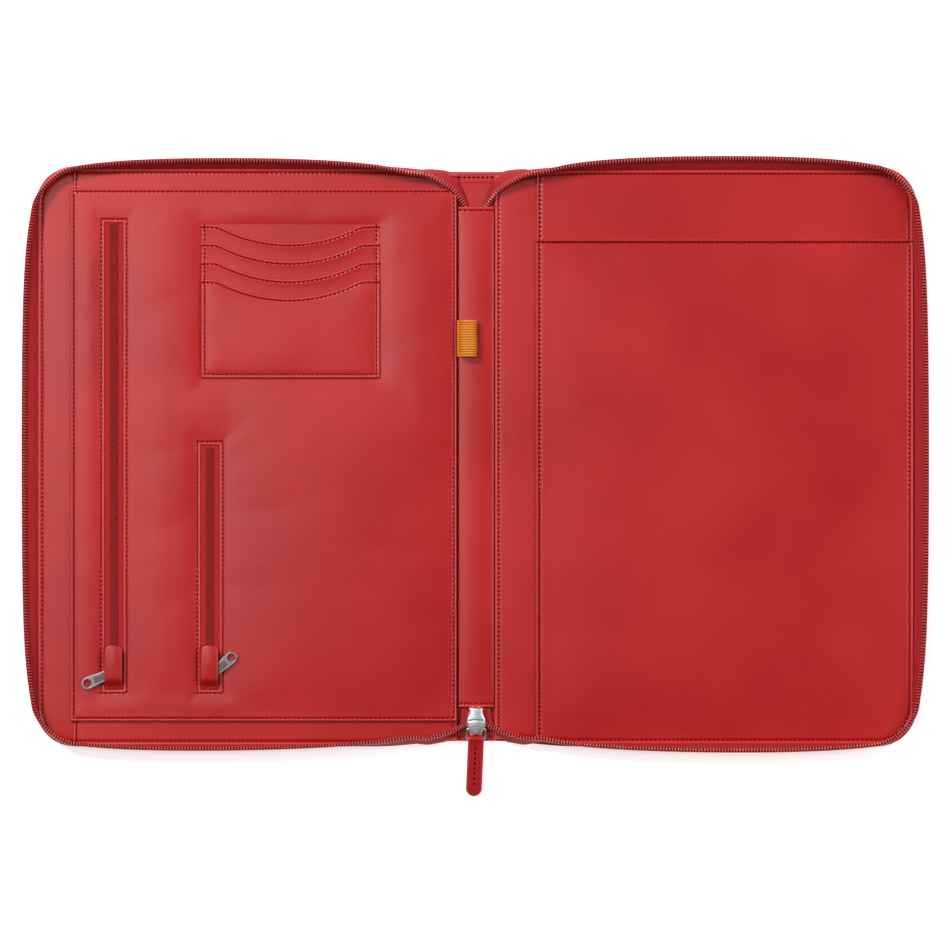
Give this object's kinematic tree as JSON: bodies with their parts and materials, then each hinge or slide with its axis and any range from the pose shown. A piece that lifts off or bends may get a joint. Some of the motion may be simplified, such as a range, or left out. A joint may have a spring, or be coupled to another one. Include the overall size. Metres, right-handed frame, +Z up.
{
  "type": "zip-around portfolio case",
  "caption": "Zip-around leather-cloth portfolio case, open flat: organiser with zip pockets and card slots at left, document pockets at right, pen loop, leather zip pull.",
  "frame": {"origin": "centre of the spine, on the face that lies on the table", "axes": "+X to the right cover, +Y to the case's top edge, +Z up out of the open case"},
  "size_m": [0.544, 0.384, 0.0139],
  "materials": {
    "outer_leather": "smooth satin leather cloth, red",
    "lining_leather": "smooth satin leather cloth, red, with stitched folded edges",
    "pull_leather": "folded and stitched leather, deep red",
    "board": "grey bookbinding board",
    "padding": "thin foam",
    "pocket_lining": "thin woven lining",
    "zip_tape": "woven polyester tape",
    "zip_coil": "moulded nylon coil",
    "polished_metal": "polished nickel plate",
    "elastic": "ribbed woven elastic, orange"
  },
  "bodies": {
    "right_cover": {"right_outer_shell": "outer_leather", "right_board": "board", "right_base_liner": "lining_leather", "right_back_pocket": "lining_leather", "right_front_pocket": "lining_leather", "right_zip_tape": "zip_tape", "right_zip_chain": "zip_coil"},
    "spine": {"spine_outer_shell": "outer_leather", "spine_stiffener": "board", "spine_padding": "padding", "spine_inner_strip": "lining_leather", "left_top_zip_tail": "zip_tape", "left_bottom_zip_tail": "zip_tape", "right_top_zip_tail": "zip_tape", "right_bottom_zip_tail": "zip_tape"},
    "left_cover": {"left_outer_shell": "outer_leather", "left_board": "board", "left_base_liner": "lining_leather", "left_back_pocket": "lining_leather", "left_zip_tape": "zip_tape", "left_zip_chain": "zip_coil", "organiser_panel": "lining_leather", "card_slot_1": "lining_leather", "card_slot_2": "lining_leather", "card_slot_3": "lining_leather", "card_slot_4": "lining_leather", "long_pocket_bag": "pocket_lining", "long_zip_left_tape": "zip_tape", "long_zip_right_tape": "zip_tape", "long_zip_left_coil": "zip_coil", "long_zip_right_coil": "zip_coil", "short_pocket_bag": "pocket_lining", "short_zip_left_tape": "zip_tape", "short_zip_right_tape": "zip_tape", "short_zip_left_coil": "zip_coil", "short_zip_right_coil": "zip_coil"},
    "pen_loop": {"pen_loop": "elastic"},
    "main_slider": {"main_slider_body": "polished_metal", "main_slider_cap": "polished_metal"},
    "main_ring": {"main_pull_ring": "polished_metal"},
    "main_strap": {"main_leather_pull": "pull_leather"},
    "long_slider": {"long_slider": "polished_metal"},
    "long_pull": {"long_pull": "polished_metal"},
    "long_flap": {"long_flap": "lining_leather"},
    "short_slider": {"short_slider": "polished_metal"},
    "short_pull": {"short_pull": "polished_metal"},
    "short_flap": {"short_flap": "lining_leather"}
  },
  "joints": [
    {"name": "spine_fold", "type": "hinge", "parent": "right_cover", "child": "spine", "pos_m": [0.0101, 0, 0.004], "axis": [0, 1, 0], "range_deg": [0, 90]},
    {"name": "cover_fold", "type": "hinge", "parent": "spine", "child": "left_cover", "pos_m": [-0.0101, 0, 0.004], "axis": [0, 1, 0], "range_deg": [0, 90]},
    {"name": "pen_loop_turn", "type": "hinge", "parent": "left_cover", "child": "pen_loop", "pos_m": [-0.0114, 0, 0.0056], "axis": [0, 1, 0], "range_deg": [-90, 0]},
    {"name": "main_slider_travel", "type": "slide", "parent": "spine", "child": "main_slider", "axis": [0, -1, 0], "range_m": [0, 0.006]},
    {"name": "ring_swing", "type": "hinge", "parent": "main_slider", "child": "main_ring", "pos_m": [0, -0.1626, 0.007], "axis": [-1, 0, 0], "range_deg": [0, 60]},
    {"name": "strap_swing", "type": "hinge", "parent": "main_ring", "child": "main_strap", "pos_m": [0, -0.1689, 0.00589], "axis": [-1, 0, 0], "range_deg": [0, 30]},
    {"name": "long_slider_travel", "type": "slide", "parent": "left_cover", "child": "long_slider", "axis": [0, 1, 0], "range_m": [0, 0.263]},
    {"name": "long_pull_swivel", "type": "hinge", "parent": "long_slider", "child": "long_pull", "pos_m": [-0.2168, -0.1285, 0.0091], "axis": [0, 0, 1], "range_deg": [-50, 0]},
    {"name": "long_flap_lift", "type": "hinge", "parent": "left_cover", "child": "long_flap", "pos_m": [-0.2168, -0.1387, 0.0063], "axis": [1, 0, 0], "range_deg": [0, 20]},
    {"name": "short_slider_travel", "type": "slide", "parent": "left_cover", "child": "short_slider", "axis": [0, 1, 0], "range_m": [0, 0.133]},
    {"name": "short_pull_swivel", "type": "hinge", "parent": "short_slider", "child": "short_pull", "pos_m": [-0.1593, -0.131, 0.0091], "axis": [0, 0, 1], "range_deg": [-40, 25]},
    {"name": "short_flap_lift", "type": "hinge", "parent": "left_cover", "child": "short_flap", "pos_m": [-0.1593, -0.1387, 0.0063], "axis": [1, 0, 0], "range_deg": [0, 20]}
  ],
  "couplings": [
    {"joint": "pen_loop_turn", "follows": "cover_fold", "ratio": -1}
  ]
}
